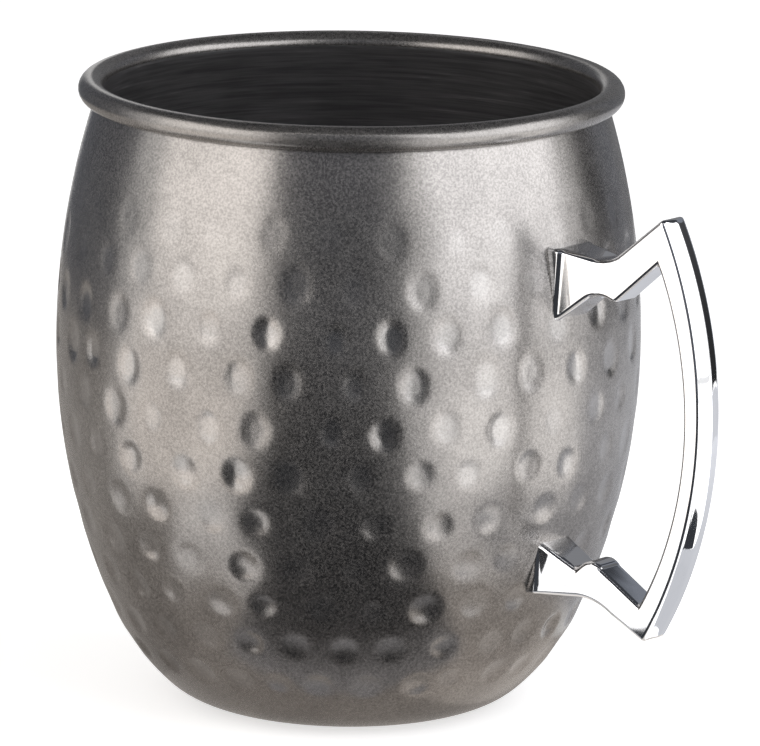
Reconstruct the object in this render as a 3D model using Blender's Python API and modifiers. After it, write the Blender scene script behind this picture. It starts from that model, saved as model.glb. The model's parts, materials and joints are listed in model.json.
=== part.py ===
"""Hammered steel mug: a drawn barrel with a rolled rim and a cast handle held by two screws from inside.

The base stands on the plane z = 0 about the vertical axis and the handle points along +X.
"""

import math

import bmesh
import bpy
from mathutils import Matrix, Vector

MM = 0.001

# Barrel wall, measured on its outer face
OVERALL_HEIGHT = 100.0 * MM
BELLY_RADIUS = 46.35 * MM
BELLY_HEIGHT = 58.0 * MM
SHOULDER_ARC_RADIUS = 128.0 * MM
BELLY_ARC_RADIUS = 106.0 * MM
HEEL_ARC_RADIUS = 36.5 * MM
BELLY_ARC_END = math.radians(23.6)
HEEL_ARC_END = math.radians(47.0)
WALL = 0.8 * MM

# Rim: the wall rolled outwards into an open curl
CURL_RADIUS = 1.95 * MM
CURL_END = math.radians(-95.0)

# Handle: a flat casting with two feet that seat on the wall
UPPER_FOOT_HEIGHT = 73.8 * MM
LOWER_FOOT_HEIGHT = 28.0 * MM
ARM_WIDTH = 5.4 * MM
FOOT_WIDTH = 8.4 * MM
FLARE_LENGTH = 6.0 * MM
GRIP_BOW_OUTER = 9.0 * MM
GRIP_BOW_INNER = 6.8 * MM
GRIP_CROWN = 0.5 * MM

# Upper arm, as (reach, rise) from the middle of its seat on the wall
UPPER_FOOT_TOP = Vector((-0.4, 5.4)) * MM
UPPER_NECK_TOP = (Vector((6.7, 4.95)) * MM, Vector((9.1, 5.1)) * MM, Vector((11.1, 6.1)) * MM)
UPPER_OUTER_CORNER = Vector((19.8, 13.1)) * MM
UPPER_INNER_CORNER = Vector((19.0, 5.7)) * MM
UPPER_CUSP = Vector((10.7, -1.45)) * MM
UPPER_ARCH = (Vector((9.7, -1.1)) * MM, Vector((7.5, -0.75)) * MM, Vector((5.1, -1.8)) * MM)
UPPER_FOOT_BOTTOM = Vector((0.3, -5.5)) * MM

# Lower arm, as (reach, rise) from the middle of its seat on the wall
LOWER_FOOT_TOP = Vector((0.6, 4.5)) * MM
LOWER_NOTCH = Vector((7.5, 1.2)) * MM
LOWER_HUMP = (Vector((8.6, 2.2)) * MM, Vector((10.2, 2.85)) * MM, Vector((12.4, 1.8)) * MM)
LOWER_INNER_CORNER = Vector((19.9, -2.6)) * MM
LOWER_OUTER_CORNER = Vector((21.1, -8.2)) * MM
LOWER_NECK_BOTTOM = (Vector((14.4, -4.9)) * MM, Vector((11.2, -3.5)) * MM, Vector((8.0, -3.15)) * MM)
LOWER_FOOT_BOTTOM = Vector((-0.7, -4.4)) * MM

# Fixings: one button-head screw and one sealing washer behind each foot
SCREW_RADIUS = 1.5 * MM
SCREW_GRIP = 4.6 * MM
HEAD_RADIUS = 2.85 * MM
HEAD_HEIGHT = 1.65 * MM
SOCKET_ACROSS_CORNERS = 2.3 * MM
SOCKET_DEPTH = 0.9 * MM
WASHER_RADIUS = 3.6 * MM
WASHER_THICKNESS = 1.0 * MM
UPPER_SCREW_RISE = 0.6 * MM
LOWER_SCREW_RISE = 1.0 * MM

# Fits
SEAT_GAP = 0.3 * MM
BORE_CLEARANCE = 0.3 * MM
TIP_CLEARANCE = 0.5 * MM
CUT_OVERLAP = 4.0 * MM

# Facets
TURN_STEPS = 64
SMALL_TURN_STEPS = 24
SHOULDER_STEPS = 9
BELLY_STEPS = 8
CORNER_STEPS = 4
CURL_STEPS = 12
GRIP_STEPS = 20
BEND_STEPS = 5


def clear_scene():
    """Remove every object that the file opened with."""
    for item in list(bpy.data.objects):
        bpy.data.objects.remove(item, do_unlink=True)


def make_collection(name):
    """Return a new collection linked to the scene."""
    collection = bpy.data.collections.new(name)
    bpy.context.scene.collection.children.link(collection)
    return collection


def make_material(name, colour, roughness, metallic):
    """Return a Principled material with the given colour, roughness and metallic value."""
    material = bpy.data.materials.new(name)
    material.use_nodes = True
    shader = material.node_tree.nodes["Principled BSDF"]
    shader.inputs["Base Color"].default_value = (*colour, 1.0)
    shader.inputs["Roughness"].default_value = roughness
    shader.inputs["Metallic"].default_value = metallic
    return material


def add_object(name, mesh, collection, material=None):
    """Link a mesh to a collection as a named object."""
    item = bpy.data.objects.new(name, mesh)
    collection.objects.link(item)
    if material:
        mesh.materials.append(material)
    return item


def as_cutter(item):
    """Show a tool body as wire only and keep it out of renders."""
    item.hide_render = True
    item.display_type = "WIRE"
    return item


def add_boolean(item, operand, operation):
    """Give an object an exact Boolean with another object."""
    modifier = item.modifiers.new(operand.name, "BOOLEAN")
    modifier.operation = operation
    modifier.solver = "EXACT"
    modifier.object = operand


def turned(name, profile, steps, collection, material=None):
    """Return a solid of revolution about its own Z from a profile of (radius, height) points.

    The profile starts and ends on the axis, or closes on itself, and its outer side runs downwards.
    """
    mesh = bpy.data.meshes.new(name)
    closed = profile[0] == profile[-1]
    points = profile[:-1] if closed else profile
    edges = [(i, i + 1) for i in range(len(points) - 1)]
    if closed:
        edges.append((len(points) - 1, 0))
    mesh.from_pydata([(r, 0.0, z) for r, z in points], edges, [])
    item = add_object(name, mesh, collection, material)
    screw = item.modifiers.new("Turn", "SCREW")
    screw.axis = "Z"
    screw.angle = math.tau
    screw.steps = steps
    screw.render_steps = steps
    screw.use_merge_vertices = True
    screw.merge_threshold = 0.00001
    return item


def arc(centre, radius, start, end, steps):
    """Return points on a circle from one angle to another, both ends included."""
    angles = [start + (end - start) * i / steps for i in range(steps + 1)]
    return [(centre[0] + radius * math.cos(a), centre[1] + radius * math.sin(a)) for a in angles]


def arc_through(start, middle, end, steps):
    """Return points on the circle through three points, from the first to the last."""
    first = middle - start
    second = end - start
    cross = 2.0 * (first.x * second.y - first.y * second.x)
    a = first.length_squared
    b = second.length_squared
    centre = start + Vector((second.y * a - first.y * b, first.x * b - second.x * a)) / cross
    radius = (start - centre).length
    angles = [math.atan2(p.y - centre.y, p.x - centre.x) for p in (start, middle, end)]
    sweep = (angles[2] - angles[0]) % math.tau
    if (angles[1] - angles[0]) % math.tau > sweep:
        sweep -= math.tau
    points = arc(centre, radius, angles[0], angles[0] + sweep, steps)
    return [Vector(p) for p in points]


def bowed(start, end, bow, steps):
    """Return points on the arc from start to end that bows out by the given height towards +X."""
    middle = (start + end) / 2.0
    along = (end - start).normalized()
    side = Vector((-along.y, along.x))
    if side.x < 0.0:
        side.negate()
    return arc_through(start, middle + side * bow, end, steps)


class Barrel:
    """The wall's outer face as arcs that meet tangentially, each turned by the slope of its normal."""

    def __init__(self):
        """Place the arcs from the rim's curl down to the flat base."""
        curl = CURL_RADIUS - WALL / 2.0
        self.curl_height = OVERALL_HEIGHT - CURL_RADIUS
        lift = self.curl_height - BELLY_HEIGHT
        self.neck = math.asin(lift / (SHOULDER_ARC_RADIUS - WALL / 2.0 + curl))
        belly = Vector((BELLY_RADIUS - BELLY_ARC_RADIUS, BELLY_HEIGHT))
        heel = belly + self.normal(-BELLY_ARC_END) * (BELLY_ARC_RADIUS - HEEL_ARC_RADIUS)
        lean = math.sin(HEEL_ARC_END)
        corner_radius = (heel.y - HEEL_ARC_RADIUS * lean) / (1.0 - lean)
        corner = heel + self.normal(-HEEL_ARC_END) * (HEEL_ARC_RADIUS - corner_radius)
        shoulder = Vector((BELLY_RADIUS - SHOULDER_ARC_RADIUS, BELLY_HEIGHT))
        self.arcs = [
            (shoulder, SHOULDER_ARC_RADIUS, self.neck, 0.0, SHOULDER_STEPS),
            (belly, BELLY_ARC_RADIUS, 0.0, -BELLY_ARC_END, BELLY_STEPS),
            (heel, HEEL_ARC_RADIUS, -BELLY_ARC_END, -HEEL_ARC_END, CORNER_STEPS),
            (corner, corner_radius, -HEEL_ARC_END, -math.pi / 2.0, CORNER_STEPS),
        ]

    @staticmethod
    def normal(slope):
        """Return the outward direction, as (reach, rise), of a wall whose normal has this slope."""
        return Vector((math.cos(slope), math.sin(slope)))

    def outline(self, inset):
        """Return (radius, height) points from the neck to the edge of the base, moved inwards."""
        points = []
        for centre, radius, start, end, steps in self.arcs:
            run = arc(centre, radius - inset, start, end, steps)
            points.extend(run if not points else run[1:])
        return points

    def slope_at(self, height):
        """Return the slope of the outward normal at a height on the outer face."""
        for centre, radius, start, end, _ in self.arcs:
            sine = (height - centre.y) / radius
            if math.sin(end) <= sine <= math.sin(start):
                return math.asin(sine)
        raise ValueError("height is off the wall")

    def radius_at(self, height):
        """Return the outer radius at a height."""
        slope = self.slope_at(height)
        for centre, radius, start, end, _ in self.arcs:
            if end <= slope <= start:
                return centre.x + radius * math.cos(slope)
        raise ValueError("height is off the wall")

    def curl_points(self):
        """Return the rolled rim's inner wall face over the top to its free edge and back to the wall."""
        centre, radius, _, _, _ = self.arcs[0]
        middle = centre + self.normal(self.neck) * (radius - WALL / 2.0)
        curl = CURL_RADIUS - WALL / 2.0
        hub = middle + self.normal(self.neck) * curl
        start = math.pi + self.neck
        outside = arc(hub, CURL_RADIUS, start, CURL_END, CURL_STEPS)
        inside = arc(hub, CURL_RADIUS - WALL, CURL_END, start, CURL_STEPS)
        return outside + inside


class Fixing:
    """The line of one screw: square to the wall and pointing outwards through a foot."""

    def __init__(self, barrel, height):
        """Find the place and direction on the wall's outer face at a height."""
        self.slope = barrel.slope_at(height)
        self.place = Vector((barrel.radius_at(height), 0.0, height))
        self.direction = Vector((math.cos(self.slope), 0.0, math.sin(self.slope)))
        self.inner_radius = (self.place.x - WALL) / math.cos(self.slope)

    def matrix(self, along):
        """Return the placing of a body whose own Z runs along the screw, at a distance past the wall."""
        turn = self.direction.to_track_quat("Z", "Y").to_matrix().to_4x4()
        return Matrix.Translation(self.place + self.direction * along) @ turn

    def washer_face(self):
        """Return where the washer's face towards the wall lies, clear of the hollow wall at its edge."""
        hollow = WASHER_RADIUS**2 / (2.0 * self.inner_radius)
        return -WALL - SEAT_GAP - hollow

    def head_face(self):
        """Return where the underside of the screw's head lies."""
        return self.washer_face() - WASHER_THICKNESS - SEAT_GAP


def cylinder(name, radius, length, placing, collection):
    """Return a cutter cylinder whose near end is at the placing and which runs along its Z."""
    mesh = bpy.data.meshes.new(name)
    shape = bmesh.new()
    bmesh.ops.create_cone(
        shape, cap_ends=True, segments=SMALL_TURN_STEPS, radius1=radius, radius2=radius, depth=length,
        matrix=Matrix.Translation((0.0, 0.0, length / 2.0)),
    )
    shape.to_mesh(mesh)
    shape.free()
    item = as_cutter(add_object(name, mesh, collection))
    item.matrix_world = placing
    return item


def build_body(barrel, fixings, parts, cutters):
    """Turn the barrel with its rolled rim and drill a hole through the wall for each screw."""
    material = make_material("antique_steel", (0.30, 0.29, 0.28), 0.38, 1.0)
    inner = [(r, z) for r, z in reversed(barrel.outline(WALL))]
    outer = barrel.outline(0.0)
    profile = [(0.0, WALL)] + inner + barrel.curl_points()[1:-1] + outer + [(0.0, 0.0)]
    body = turned("body_shell", profile, TURN_STEPS, parts, material)
    for label, fixing in fixings.items():
        start = -WALL - CUT_OVERLAP / 2.0
        drill = cylinder(f"{label}_wall_drill", SCREW_RADIUS + BORE_CLEARANCE, WALL + CUT_OVERLAP,
                         fixing.matrix(start), cutters)
        add_boolean(body, drill, "DIFFERENCE")
    return body


def handle_outline(barrel):
    """Return the casting's side outline, and which of its points lie on the outer side of the grip."""
    upper = Vector((barrel.radius_at(UPPER_FOOT_HEIGHT), UPPER_FOOT_HEIGHT))
    lower = Vector((barrel.radius_at(LOWER_FOOT_HEIGHT), LOWER_FOOT_HEIGHT))

    def into_wall(corner, neighbour):
        """Carry a foot's edge on into the wall, where the seat is cut."""
        reach = (corner - neighbour).normalized()
        return corner + reach * CUT_OVERLAP

    neck = arc_through(*UPPER_NECK_TOP, BEND_STEPS)
    arch = arc_through(*UPPER_ARCH, BEND_STEPS)
    hump = arc_through(*LOWER_HUMP, BEND_STEPS)
    throat = arc_through(*LOWER_NECK_BOTTOM, BEND_STEPS)
    outer = bowed(upper + UPPER_OUTER_CORNER, lower + LOWER_OUTER_CORNER, GRIP_BOW_OUTER, GRIP_STEPS)
    inner = bowed(lower + LOWER_INNER_CORNER, upper + UPPER_INNER_CORNER, GRIP_BOW_INNER, GRIP_STEPS)
    points = [upper + into_wall(UPPER_FOOT_TOP, neck[0])]
    points += [upper + p for p in neck]
    first = len(points)
    points += outer
    last = len(points)
    points += [lower + p for p in throat]
    points.append(lower + into_wall(LOWER_FOOT_BOTTOM, throat[-1]))
    points.append(lower + into_wall(LOWER_FOOT_TOP, LOWER_NOTCH))
    points.append(lower + LOWER_NOTCH)
    points += [lower + p for p in hump]
    points += inner
    points.append(upper + UPPER_CUSP)
    points += [upper + p for p in arch]
    points.append(upper + into_wall(UPPER_FOOT_BOTTOM, arch[-1]))
    return points, range(first, last)


def loft(name, sections, collection, material=None):
    """Return a closed solid that joins sections of equal point counts in turn, with flat ends."""
    mesh = bpy.data.meshes.new(name)
    shape = bmesh.new()
    rings = [[shape.verts.new(point) for point in section] for section in sections]
    count = len(rings[0])
    for near, far in zip(rings, rings[1:]):
        for i in range(count):
            j = (i + 1) % count
            shape.faces.new((near[i], near[j], far[j], far[i]))
    shape.faces.new(rings[0])
    shape.faces.new(rings[-1])
    bmesh.ops.recalc_face_normals(shape, faces=shape.faces)
    bmesh.ops.triangulate(shape, faces=shape.faces)
    shape.to_mesh(mesh)
    shape.free()
    return add_object(name, mesh, collection, material)


def build_handle(barrel, fixings, parts, cutters):
    """Make the casting: its side outline trimmed to its plan, seated on the wall and drilled for screws."""
    material = make_material("polished_chrome", (0.80, 0.81, 0.83), 0.06, 1.0)
    outline, grip = handle_outline(barrel)
    edge = FOOT_WIDTH / 2.0 + CUT_OVERLAP / 4.0
    crown_edge = ARM_WIDTH / 2.0 + SEAT_GAP
    sections = []
    for side in (-edge, -crown_edge, -crown_edge / 2.0, 0.0, crown_edge / 2.0, crown_edge, edge):
        bulge = GRIP_CROWN * max(0.0, 1.0 - (side / crown_edge) ** 2)
        sections.append([
            (p.x + (bulge if i in grip else 0.0), side, p.y) for i, p in enumerate(outline)
        ])
    handle = loft("handle", sections, parts, material)

    # Plan of the feet and arms, leaning with the line between the two seats
    flare_rise = (FOOT_WIDTH - ARM_WIDTH) / 2.0
    flare_radius = (FLARE_LENGTH**2 + flare_rise**2) / (2.0 * flare_rise)
    sweep = math.asin(FLARE_LENGTH / flare_radius)
    far = max(p.x for p in outline) + CUT_OVERLAP
    flare = arc((FLARE_LENGTH, ARM_WIDTH / 2.0 + flare_radius), flare_radius,
                -math.pi / 2.0 - sweep, -math.pi / 2.0, BEND_STEPS)
    half = [(-2.0 * CUT_OVERLAP, FOOT_WIDTH / 2.0)] + flare
    half.append((far, ARM_WIDTH / 2.0))
    plan = half + [(x, -y) for x, y in reversed(half)]
    seats = {h: barrel.radius_at(h) for h in (LOWER_FOOT_HEIGHT, UPPER_FOOT_HEIGHT)}
    rise = UPPER_FOOT_HEIGHT - LOWER_FOOT_HEIGHT
    lean = (seats[UPPER_FOOT_HEIGHT] - seats[LOWER_FOOT_HEIGHT]) / rise
    levels = (min(p.y for p in outline) - CUT_OVERLAP, max(p.y for p in outline) + CUT_OVERLAP)
    stacked = []
    for level in levels:
        base = seats[LOWER_FOOT_HEIGHT] + lean * (level - LOWER_FOOT_HEIGHT)
        stacked.append([(base + x, y, level) for x, y in plan])
    trim = as_cutter(loft("handle_plan", stacked, cutters))
    add_boolean(handle, trim, "INTERSECT")

    # Seat on the wall
    profile = [(0.0, OVERALL_HEIGHT)] + barrel.outline(-SEAT_GAP) + [(0.0, -SEAT_GAP)]
    seat = as_cutter(turned("handle_seat", profile, TURN_STEPS, cutters))
    add_boolean(handle, seat, "DIFFERENCE")

    # Blind holes that take the screws
    for label, fixing in fixings.items():
        depth = SCREW_GRIP + TIP_CLEARANCE
        drill = cylinder(f"{label}_handle_drill", SCREW_RADIUS + BORE_CLEARANCE, depth + CUT_OVERLAP,
                         fixing.matrix(-CUT_OVERLAP), cutters)
        add_boolean(handle, drill, "DIFFERENCE")
    return handle


def build_screw(label, fixing, parts, cutters):
    """Turn one button-head screw and sink its hexagon socket."""
    material = make_material(f"{label}_screw_steel", (0.62, 0.62, 0.63), 0.3, 1.0)
    length = SCREW_GRIP - fixing.head_face()
    chamfer = SCREW_RADIUS / 4.0
    rim_height = HEAD_HEIGHT / 4.0
    dome = HEAD_HEIGHT - rim_height
    crest = HEAD_RADIUS * 0.45
    cap = [(HEAD_RADIUS + (crest - HEAD_RADIUS) * (1.0 - math.cos(a)), -rim_height - dome * math.sin(a))
           for a in [math.pi / 2.0 * i / BEND_STEPS for i in range(BEND_STEPS + 1)]]
    profile = [
        (0.0, length),
        (SCREW_RADIUS - chamfer, length),
        (SCREW_RADIUS, length - chamfer),
        (SCREW_RADIUS, 0.0),
        (HEAD_RADIUS, 0.0),
    ]
    profile += cap + [(0.0, -HEAD_HEIGHT)]
    screw = turned(f"{label}_screw", profile, SMALL_TURN_STEPS, parts, material)
    screw.matrix_world = fixing.matrix(fixing.head_face())
    mesh = bpy.data.meshes.new(f"{label}_socket")
    shape = bmesh.new()
    bmesh.ops.create_cone(
        shape, cap_ends=True, segments=6, radius1=SOCKET_ACROSS_CORNERS / 2.0,
        radius2=SOCKET_ACROSS_CORNERS / 2.0, depth=2.0 * SOCKET_DEPTH,
    )
    shape.to_mesh(mesh)
    shape.free()
    socket = as_cutter(add_object(f"{label}_socket", mesh, cutters))
    socket.matrix_world = fixing.matrix(fixing.head_face() - HEAD_HEIGHT)
    add_boolean(screw, socket, "DIFFERENCE")
    return screw


def build_washer(label, fixing, parts):
    """Turn one sealing washer, with eased edges, between a screw head and the wall."""
    material = make_material(f"{label}_washer_rubber", (0.03, 0.03, 0.03), 0.6, 0.0)
    bore = SCREW_RADIUS + BORE_CLEARANCE
    ease = WASHER_THICKNESS / 4.0
    top = WASHER_THICKNESS
    profile = [
        (bore, top),
        (WASHER_RADIUS - ease, top),
        (WASHER_RADIUS, top - ease),
        (WASHER_RADIUS, ease),
        (WASHER_RADIUS - ease, 0.0),
        (bore, 0.0),
        (bore, top),
    ]
    washer = turned(f"{label}_sealing_washer", profile, SMALL_TURN_STEPS, parts, material)
    washer.matrix_world = fixing.matrix(fixing.washer_face() - WASHER_THICKNESS)
    return washer


def main():
    """Build the mug's pieces and their cutters."""
    clear_scene()
    parts = make_collection("mule_mug")
    cutters = make_collection("cutters")
    barrel = Barrel()
    fixings = {
        "upper": Fixing(barrel, UPPER_FOOT_HEIGHT + UPPER_SCREW_RISE),
        "lower": Fixing(barrel, LOWER_FOOT_HEIGHT + LOWER_SCREW_RISE),
    }
    build_body(barrel, fixings, parts, cutters)
    build_handle(barrel, fixings, parts, cutters)
    for label, fixing in fixings.items():
        build_screw(label, fixing, parts, cutters)
        build_washer(label, fixing, parts)


main()
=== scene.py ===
"""Looks of a hammered steel mule mug: its wall and rolled rim, cast handle, fixings, finishes and studio.

Every size is in metres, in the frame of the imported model: +Z up, the handle along +X, the base on z = 0.
"""

import json
import logging
import math
import random
from dataclasses import dataclass, field
from enum import Enum
from typing import Any, Iterator, Optional, Sequence, Union

import bmesh
import bpy
from mathutils import Matrix, Vector
from mathutils.geometry import intersect_point_line
from mathutils.kdtree import KDTree

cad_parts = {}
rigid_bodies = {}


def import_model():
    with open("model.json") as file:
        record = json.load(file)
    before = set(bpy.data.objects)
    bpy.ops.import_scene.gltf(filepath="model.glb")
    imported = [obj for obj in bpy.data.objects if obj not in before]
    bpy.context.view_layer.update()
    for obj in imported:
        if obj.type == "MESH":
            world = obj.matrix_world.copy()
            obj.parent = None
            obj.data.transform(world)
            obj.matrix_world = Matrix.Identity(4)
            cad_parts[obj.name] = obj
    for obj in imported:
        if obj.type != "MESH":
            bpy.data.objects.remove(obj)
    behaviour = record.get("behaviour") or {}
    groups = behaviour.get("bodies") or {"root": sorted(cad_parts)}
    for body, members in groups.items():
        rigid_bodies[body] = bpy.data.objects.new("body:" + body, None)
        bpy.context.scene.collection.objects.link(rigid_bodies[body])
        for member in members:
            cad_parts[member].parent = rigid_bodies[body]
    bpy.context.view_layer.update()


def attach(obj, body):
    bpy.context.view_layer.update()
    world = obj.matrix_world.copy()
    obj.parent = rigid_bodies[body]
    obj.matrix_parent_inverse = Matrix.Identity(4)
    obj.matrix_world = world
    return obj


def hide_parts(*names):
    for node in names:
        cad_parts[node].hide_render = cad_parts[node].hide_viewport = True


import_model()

LOG = logging.getLogger("mule_mug")
MM = 0.001
MERGE = 1e-7
QUARTER = math.pi / 2.0
ROOT = "root"
STRUCK = "struck"
WHITE = (1.0, 1.0, 1.0)
WARM = (1.0, 0.945, 0.895)
PALE = (0.965, 0.98, 1.035)
COOL = (0.91, 0.97, 1.12)
PHOTO_WIDTH = 760.0
PHOTO_HEIGHT = 746.0

Colour = tuple[float, float, float]
Range = tuple[float, float]
Spot = tuple[float, float]
Bend = tuple[Spot, Spot, Spot]
Operand = Union["Value", float]


class Level(Enum):
    """The two places where the handle meets the wall."""

    UPPER = "upper"
    LOWER = "lower"


class Value:
    """A number on a node socket that takes part in Python expressions."""

    def __init__(self, graph: "Graph", socket: bpy.types.NodeSocket) -> None:
        """Wrap an output socket of a graph."""
        self.graph = graph
        self.socket = socket

    def _with(self, operation: str, *others: Operand) -> "Value":
        """Add a Math node that joins this value with others.

        Args:
            operation: Name of the Math node's operation.
            others: The further operands, in order.

        Returns:
            The result as a new value.
        """
        operands = dict(enumerate((self, *others)))
        node = self.graph.add("ShaderNodeMath", {"operation": operation}, operands)
        return Value(self.graph, node.outputs[0])

    def __add__(self, other: Operand) -> "Value":
        """Return the sum."""
        return self._with("ADD", other)

    __radd__ = __add__

    def __mul__(self, other: Operand) -> "Value":
        """Return the product."""
        return self._with("MULTIPLY", other)

    __rmul__ = __mul__

    def __sub__(self, other: Operand) -> "Value":
        """Return the difference."""
        return self._with("SUBTRACT", other)

    def __rsub__(self, other: float) -> "Value":
        """Return a number less this value."""
        return self._with("MULTIPLY_ADD", -1.0, other)

    def max(self, other: Operand) -> "Value":
        """Return the larger of the two."""
        return self._with("MAXIMUM", other)

    def step(self, low: float, high: float) -> "Value":
        """Return a smooth rise from 0 at low to 1 at high."""
        node = self.graph.add(
            "ShaderNodeMapRange",
            {"interpolation_type": "SMOOTHSTEP"},
            {"Value": self, "From Min": low, "From Max": high, "To Min": 0.0, "To Max": 1.0},
        )
        return Value(self.graph, node.outputs["Result"])


@dataclass(frozen=True)
class Pattern:
    """A noise pattern: its waves per metre, its octaves of finer noise and their weight."""

    scale: float
    detail: float
    roughness: float


@dataclass(frozen=True)
class Relief:
    """How deep a pattern is and how strongly it bends the normals."""

    distance: float
    strength: float


class Graph:
    """A node tree with one way to add any node."""

    def __init__(self, tree: bpy.types.NodeTree) -> None:
        """Take a tree and empty it."""
        self.tree = tree
        tree.nodes.clear()

    def add(
        self,
        kind: str,
        settings: Optional[dict[str, Any]] = None,
        inputs: Optional[dict[Union[int, str], Any]] = None,
    ) -> bpy.types.Node:
        """Add a node.

        Args:
            kind: The node's type name.
            settings: Properties to set first.
            inputs: Values or links for its sockets, by name or number.

        Returns:
            The new node.
        """
        node = self.tree.nodes.new(kind)
        for name, value in (settings or {}).items():
            setattr(node, name, value)
        for name, value in (inputs or {}).items():
            source = value.socket if isinstance(value, Value) else value
            if isinstance(source, bpy.types.NodeSocket):
                self.tree.links.new(source, node.inputs[name])
            else:
                node.inputs[name].default_value = source
        return node

    def place(self) -> bpy.types.NodeSocket:
        """Return the object coordinates of the surface."""
        return self.add("ShaderNodeTexCoord").outputs["Object"]

    def noise(self, vector: bpy.types.NodeSocket, pattern: Pattern) -> Value:
        """Return a noise pattern between 0 and 1, read at the given coordinates."""
        inputs = {"Scale": pattern.scale, "Detail": pattern.detail, "Roughness": pattern.roughness}
        return Value(self, self.add("ShaderNodeTexNoise", None, {"Vector": vector, **inputs}).outputs["Fac"])

    def blend(self, factor: Value, first: Any, second: Any) -> bpy.types.NodeSocket:
        """Mix two colours.

        Args:
            factor: The second colour's share.
            first: A plain colour or a colour socket.
            second: The same.

        Returns:
            The mixed colour's socket.
        """
        first, second = ((*c, 1.0) if isinstance(c, tuple) else c for c in (first, second))
        node = self.add("ShaderNodeMix", {"data_type": "RGBA"}, {"Factor": factor, 6: first, 7: second})
        return node.outputs[2]

    def bump(
        self, height: Value, relief: Relief, below: Optional[bpy.types.NodeSocket] = None
    ) -> bpy.types.NodeSocket:
        """Bend the normals by a pattern.

        Args:
            height: The pattern.
            relief: Its depth and strength.
            below: Another bump that this one lies on.

        Returns:
            The bent normal's socket.
        """
        inputs = {"Height": height, "Distance": relief.distance, "Strength": relief.strength}
        if below is not None:
            inputs["Normal"] = below
        return self.add("ShaderNodeBump", None, inputs).outputs["Normal"]

    def seen(self) -> Value:
        """Return 1 for what the camera, a mirror or glass shows, and 0 for the light on other surfaces."""
        path = self.add("ShaderNodeLightPath")
        camera, mirror, glass = (
            Value(self, path.outputs[f"Is {ray} Ray"]) for ray in ("Camera", "Glossy", "Transmission")
        )
        return camera.max(mirror).max(glass)

    def close(self, shader: bpy.types.Node, kind: str = "ShaderNodeOutputMaterial") -> None:
        """Make a shader the tree's surface."""
        self.add(kind, None, {"Surface": shader.outputs[0]})

    def surface(self, inputs: dict[Union[int, str], Any]) -> None:
        """Finish the tree with a Principled shader that has the given inputs."""
        self.close(self.add("ShaderNodeBsdfPrincipled", None, inputs))


def new_material(name: str) -> tuple[bpy.types.Material, Graph]:
    """Start a material.

    Args:
        name: The material's name.

    Returns:
        The material and its empty graph.
    """
    material = bpy.data.materials.new(name)
    material.use_nodes = True
    return material, Graph(material.node_tree)


@dataclass(frozen=True)
class HammeredSteel:
    """Satin antique steel: a cloudy, grainy grey patina, rubbed bright where the hammer struck."""

    dark: Colour = (0.192, 0.183, 0.175)
    light: Colour = (0.412, 0.392, 0.376)
    # Painted shade: darker, browner colours that the wall is painted with towards its foot.
    painted_foot_dark: Colour = (0.112, 0.100, 0.091)
    painted_foot_light: Colour = (0.325, 0.297, 0.275)
    bright: Colour = (0.515, 0.503, 0.494)
    grain: Pattern = Pattern(6200.0, 3.0, 0.65)
    cloud: Pattern = Pattern(70.0, 4.0, 0.6)
    speck: Pattern = Pattern(2700.0, 3.0, 0.65)
    cloud_rise: Range = (0.3, 0.7)
    fleck_rise: Range = (0.32, 0.68)
    # Painted shade: the heights over which the foot's painted shade fades out.
    painted_foot_fade: Range = (0.006, 0.052)
    neck_zone: Range = (0.080, 0.094)
    rim_zone: Range = (0.0955, 0.0975)
    cloud_share: float = 0.36
    # Painted shade: how much darker the rim is painted.
    painted_rim_shade: float = 0.4
    # Painted shade: how far the foot is painted over with the darker, browner colours.
    painted_foot_share: float = 0.8
    rubbed_share: float = 0.3
    rubbed_speck: float = 0.6
    metallic: float = 0.985
    fleck_dulling: float = 0.16
    rough: float = 0.16
    rough_grain: float = 0.16
    rough_cloud: float = 0.05
    rough_rim: float = 0.06
    struck_polish: float = 0.08
    neck_polish: float = 0.04
    neck_calm: float = 0.5
    speck_relief: Relief = Relief(0.02 * MM, 0.45)
    grain_relief: Relief = Relief(0.012 * MM, 0.5)

    def material(self) -> bpy.types.Material:
        """Mix the patina's greys, its rubbed marks, and painted shade: darker and browner towards the foot,
        darker on the rim.

        Returns:
            The finish as a material.
        """
        material, graph = new_material("antique_steel_hammered")
        place = graph.place()
        grain = graph.noise(place, self.grain)
        cloud = graph.noise(place, self.cloud)
        speck = graph.noise(place, self.speck)
        struck = Value(graph, graph.add("ShaderNodeAttribute", {"attribute_name": STRUCK}).outputs["Fac"])
        height = Value(graph, graph.add("ShaderNodeSeparateXYZ", None, {0: place}).outputs["Z"])
        # Painted shade: towards the foot the wall is painted darker and browner, standing in for the shadowed
        # floor that the lower wall mirrors.
        low = 1.0 - height.step(*self.painted_foot_fade)
        neck = height.step(*self.neck_zone)
        rim = height.step(*self.rim_zone)
        fleck = speck.step(*self.fleck_rise)
        tone = cloud.step(*self.cloud_rise) * self.cloud_share + fleck * (1.0 - self.cloud_share)
        # Painted shade: the rim is painted darker.
        tone = tone * (1.0 - rim * self.painted_rim_shade)
        grey = graph.blend(tone, self.dark, self.light)
        # Painted shade for the foot: a darker, browner copy of the patina, mixed in towards the bottom.
        painted_foot = graph.blend(tone, self.painted_foot_dark, self.painted_foot_light)
        colour = graph.blend(low * self.painted_foot_share, grey, painted_foot)
        colour = graph.blend(struck * (self.rubbed_share + speck * self.rubbed_speck), colour, self.bright)
        rough = self.rough + grain * self.rough_grain + cloud * self.rough_cloud
        rough = rough - struck * self.struck_polish - neck * self.neck_polish + rim * self.rough_rim
        metal = self.metallic - fleck * (1.0 - struck) * self.fleck_dulling
        normal = graph.bump(speck * (1.0 - neck * self.neck_calm), self.speck_relief)
        normal = graph.bump(grain, self.grain_relief, normal)
        graph.surface({"Base Color": colour, "Metallic": metal, "Roughness": rough, "Normal": normal})
        return material


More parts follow.
